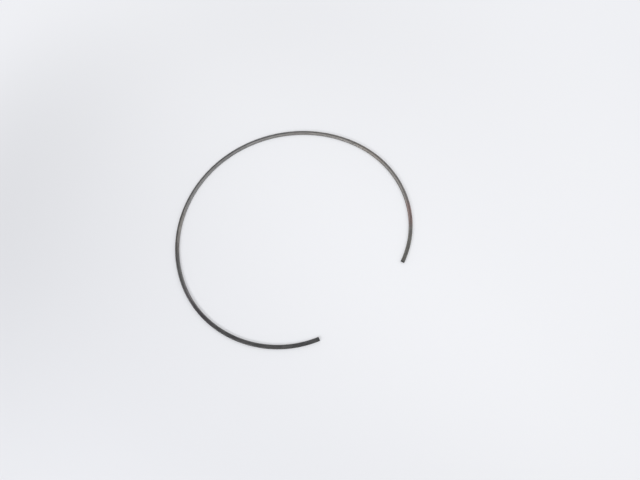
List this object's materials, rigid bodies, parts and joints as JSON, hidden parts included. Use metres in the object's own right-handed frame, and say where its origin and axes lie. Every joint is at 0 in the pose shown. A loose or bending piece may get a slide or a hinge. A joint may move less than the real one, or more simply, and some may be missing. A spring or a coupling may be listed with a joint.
{
  "type": "retaining ring",
  "caption": "Open retaining ring of flat spring wire in its free state, with square-cut ends; squeezed into a groove in a bore, it holds a part endways.",
  "frame": {"origin": "centre of the ring's main arc, the one opposite the gap, at the height of the lower face", "axes": "+Z is the axis of the ring and of the bore it goes into, +X points through the middle of the gap, and Y runs across the ring"},
  "size_m": [0.1368, 0.159, 0.0014],
  "materials": {
    "spring_steel": "hardened spring steel with a dark oiled finish, satin, worn lighter along its edges"
  },
  "bodies": {
    "root": {"retaining_ring": "spring_steel"}
  },
  "joints": []
}
